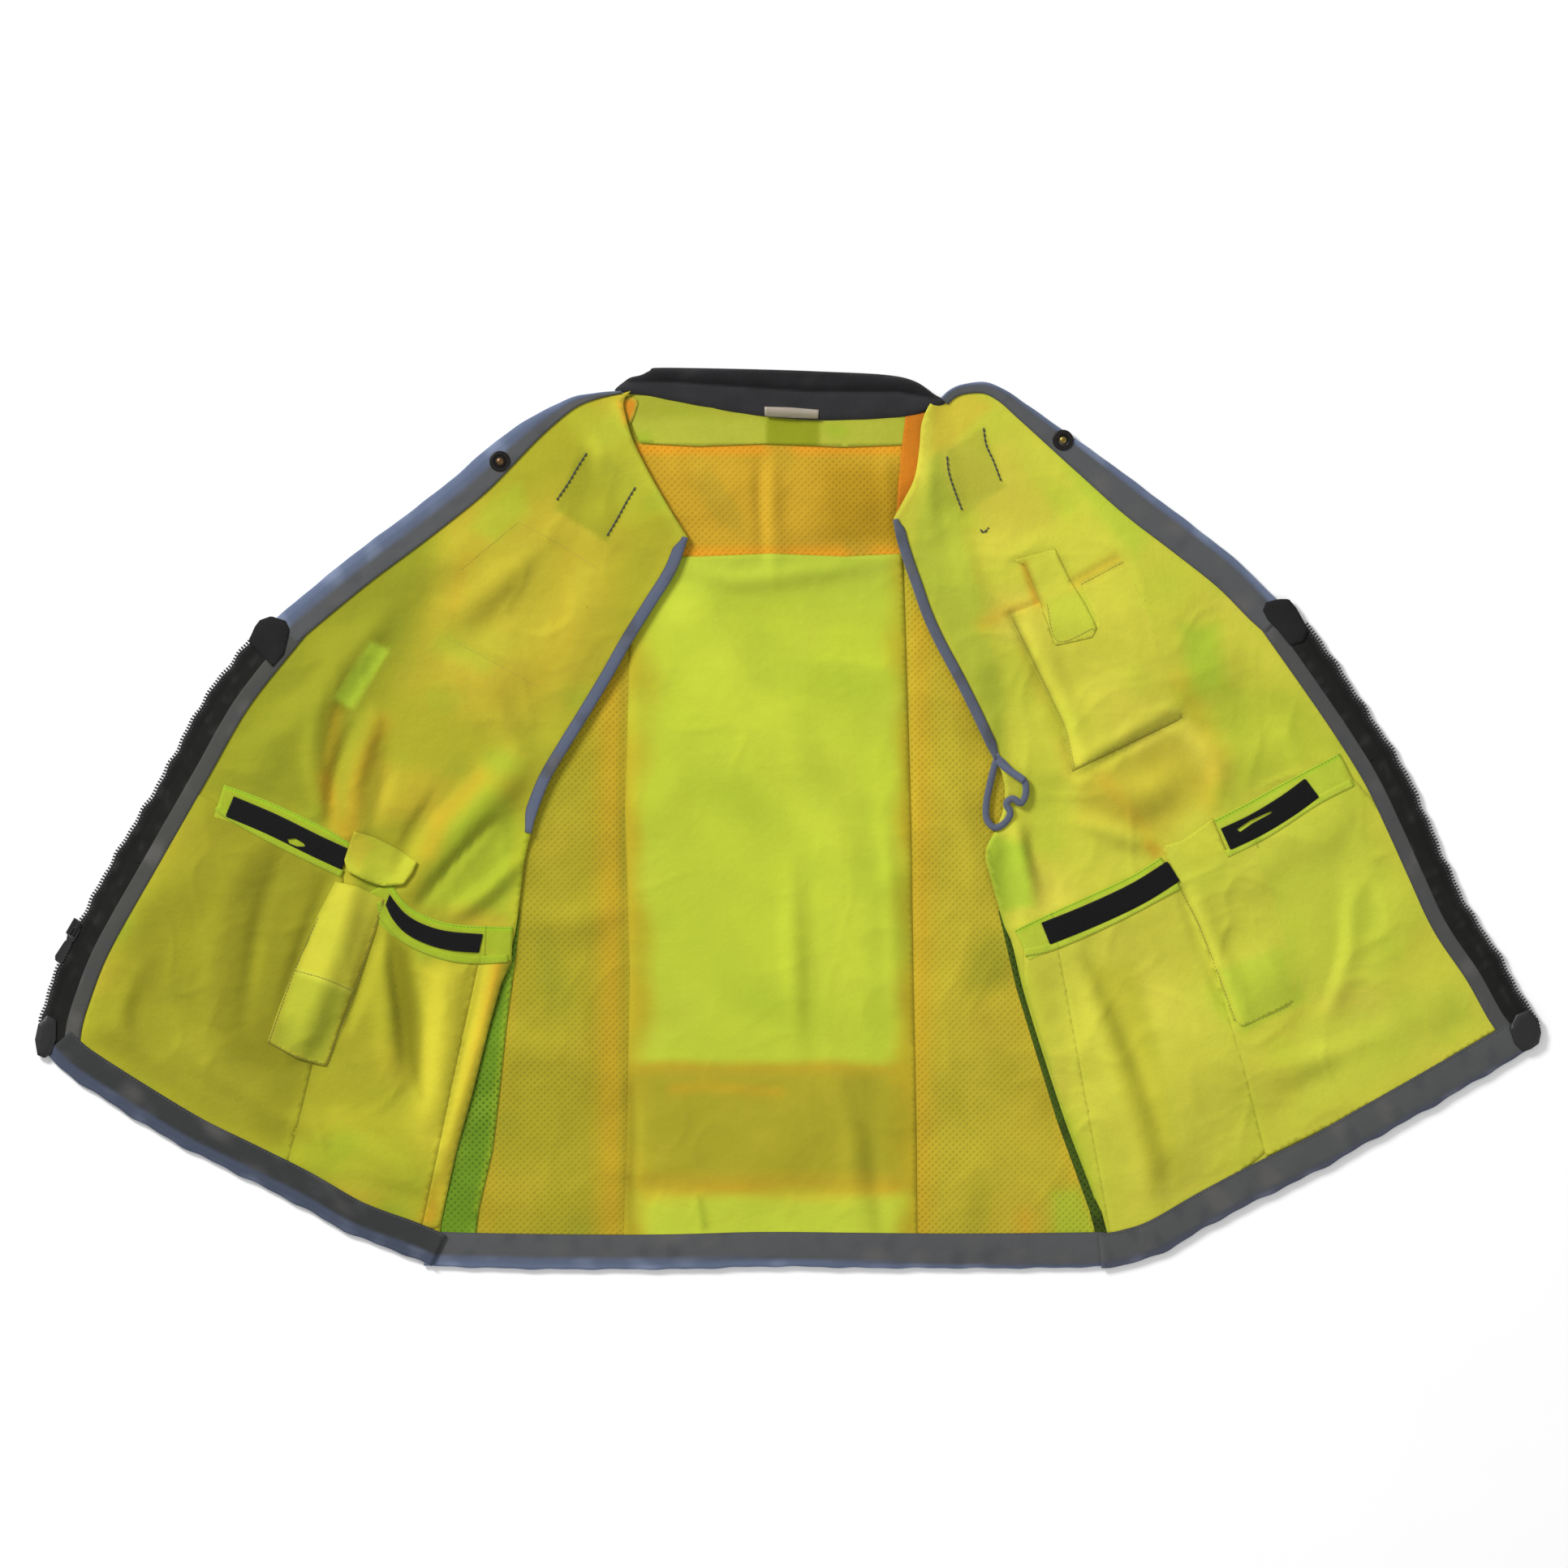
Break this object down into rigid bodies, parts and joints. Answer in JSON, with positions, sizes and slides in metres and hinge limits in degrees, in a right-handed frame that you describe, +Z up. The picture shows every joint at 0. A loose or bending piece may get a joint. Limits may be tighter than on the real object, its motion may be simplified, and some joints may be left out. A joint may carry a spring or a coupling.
{
  "type": "high visibility vest",
  "caption": "Zip-front surveyor safety vest in lime cloth with mesh back, padded collar, bound edges, pockets with hook-and-loop strips and press studs, laid open lining side up",
  "frame": {"origin": "centre of the waist reflective tape, on its outer face, which is the underside of the vest as it lies", "axes": "+Z up out of the lining, +Y towards the collar, +X towards the wearer's left front; the vest lies open and flat on its outer face"},
  "size_m": [1.208, 0.723, 0.0072],
  "materials": {
    "lime_cloth": "plain woven polyester, soft sheen",
    "lime_mesh": "knitted open mesh",
    "orange_contrast": "fluorescent woven contrast cloth",
    "reflective_tape": "silver glass-bead reflective tape",
    "grey_binding": "ribbed charcoal-grey woven binding",
    "slate_edging": "slate-blue folded edging",
    "black_tape": "black zip tape weave",
    "hook_and_loop": "black hook-and-loop pile",
    "collar_knit": "charcoal brushed knit",
    "collar_foam": "soft wadding",
    "snap_metal": "dark plated press stud",
    "zip_plastic": "black moulded plastic",
    "label_satin": "blank satin label"
  },
  "bodies": {
    "back": {"back_mesh_panel": "lime_mesh", "right_side_gusset": "lime_mesh", "left_side_gusset": "lime_mesh", "centre_back_panel": "lime_cloth", "back_yoke": "lime_cloth", "right_shoulder_fold": "lime_cloth", "left_shoulder_fold": "lime_cloth", "upper_contrast_band": "orange_contrast", "waist_contrast_band": "orange_contrast", "right_back_contrast_strip": "orange_contrast", "left_back_contrast_strip": "orange_contrast", "waist_reflective_tape": "reflective_tape", "right_back_reflective_tape": "reflective_tape", "left_back_reflective_tape": "reflective_tape", "back_hem_binding": "grey_binding", "right_armhole_binding": "slate_edging", "left_armhole_binding": "slate_edging"},
    "collar": {"collar_shell": "collar_knit", "collar_padding": "collar_foam", "neck_label": "label_satin"},
    "right_front": {"right_front_panel": "lime_cloth", "right_chest_pocket": "lime_cloth", "right_front_reflective_tape": "reflective_tape", "right_hem_binding": "grey_binding", "right_edge_facing": "grey_binding", "right_neck_binding": "slate_edging", "right_zip_tape": "black_tape", "right_snap_cap": "snap_metal", "right_snap_stud": "snap_metal", "right_zip_teeth": "zip_plastic", "right_zip_box": "zip_plastic", "right_outer_pocket_loop_strip": "hook_and_loop", "right_inner_pocket_loop_strip": "hook_and_loop"},
    "left_front": {"left_front_panel": "lime_cloth", "left_chest_pocket": "lime_cloth", "left_front_reflective_tape": "reflective_tape", "left_hem_binding": "grey_binding", "left_edge_facing": "grey_binding", "left_neck_binding": "slate_edging", "left_zip_tape": "black_tape", "left_snap_cap": "snap_metal", "left_snap_socket": "snap_metal", "left_zip_teeth": "zip_plastic", "left_zip_pin": "zip_plastic", "left_inner_pocket_loop_strip": "hook_and_loop", "left_outer_pocket_loop_strip": "hook_and_loop"},
    "zip_slider": {"zip_slider": "zip_plastic"},
    "zip_pull": {"zip_pull_tab": "zip_plastic"},
    "right_outer_pocket": {"right_outer_pocket": "lime_cloth", "right_outer_pocket_hook_strip": "hook_and_loop", "right_pen_pocket": "lime_cloth"},
    "right_inner_pocket": {"right_inner_pocket": "lime_cloth", "right_inner_pocket_hook_strip": "hook_and_loop"},
    "left_inner_pocket": {"left_inner_pocket": "lime_cloth", "left_inner_pocket_hook_strip": "hook_and_loop"},
    "left_outer_pocket": {"left_outer_pocket": "lime_cloth", "left_outer_pocket_hook_strip": "hook_and_loop", "left_pen_pocket": "lime_cloth"}
  },
  "joints": [
    {"name": "right_front_swing", "type": "hinge", "parent": "back", "child": "right_front", "pos_m": [-0.201, 0.2405, 0.008], "axis": [0.21, 0.9777, 0], "range_deg": [0, 135]},
    {"name": "left_front_swing", "type": "hinge", "parent": "back", "child": "left_front", "pos_m": [0.202, 0.239, 0.008], "axis": [0.1812, -0.9834, 0], "range_deg": [0, 124]},
    {"name": "collar_fold", "type": "hinge", "parent": "back", "child": "collar", "pos_m": [0.0045, 0.5675, 0.0062], "axis": [1, 0, 0], "range_deg": [0, 43]},
    {"name": "zip_slide", "type": "slide", "parent": "right_front", "child": "zip_slider", "axis": [0.4971, 0.8677, 0], "range_m": [0, 0.19]},
    {"name": "pull_tab_flip", "type": "hinge", "parent": "zip_slider", "child": "zip_pull", "pos_m": [-0.5569, 0.1596, 0.0044], "axis": [-0.8677, 0.4971, 0], "range_deg": [0, 150]},
    {"name": "right_outer_pocket_open", "type": "hinge", "parent": "right_front", "child": "right_outer_pocket", "pos_m": [-0.461, 0.03, 0.003], "axis": [0.864, -0.5036, 0], "range_deg": [0, 8]},
    {"name": "right_inner_pocket_open", "type": "hinge", "parent": "right_front", "child": "right_inner_pocket", "pos_m": [-0.319, -0.042, 0.003], "axis": [0.9285, -0.3714, 0], "range_deg": [0, 8]},
    {"name": "left_inner_pocket_open", "type": "hinge", "parent": "left_front", "child": "left_inner_pocket", "pos_m": [0.344, -0.042, 0.003], "axis": [0.9307, 0.3659, 0], "range_deg": [0, 8]},
    {"name": "left_outer_pocket_open", "type": "hinge", "parent": "left_front", "child": "left_outer_pocket", "pos_m": [0.4945, 0.03, 0.003], "axis": [0.8767, 0.4811, 0], "range_deg": [0, 8]}
  ]
}
